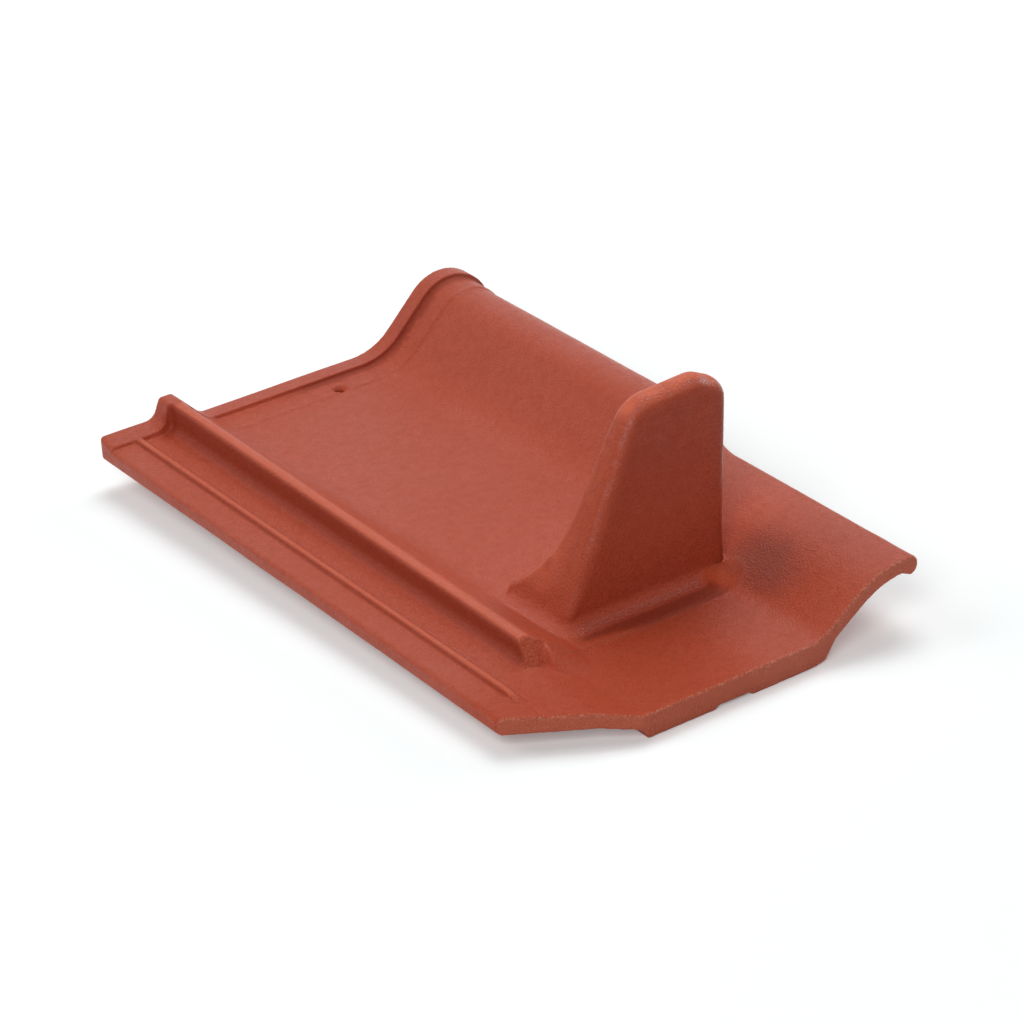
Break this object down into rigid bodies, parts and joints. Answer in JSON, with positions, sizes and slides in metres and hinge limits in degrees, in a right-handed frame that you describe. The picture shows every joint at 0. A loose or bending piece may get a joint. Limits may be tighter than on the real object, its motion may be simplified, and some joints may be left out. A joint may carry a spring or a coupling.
{
  "type": "snow stop tile",
  "caption": "Interlocking clay roof tile with an upright snow lug on its pan, an under-lock with ribs on the left, a roll on the right, a head rim, a nail hole, hanging nibs and a foot rib.",
  "frame": {"origin": "middle of the bounding box in plan, at the level of the lower ends of the nibs", "axes": "+X across the tile from the under-lock to the roll, +Y up the slope from the foot to the head, +Z off the roof"},
  "size_m": [0.2678, 0.44, 0.1419],
  "materials": {
    "engobed_clay": "satin"
  },
  "bodies": {
    "root": {"snow_stop_tile": "engobed_clay"}
  },
  "joints": []
}
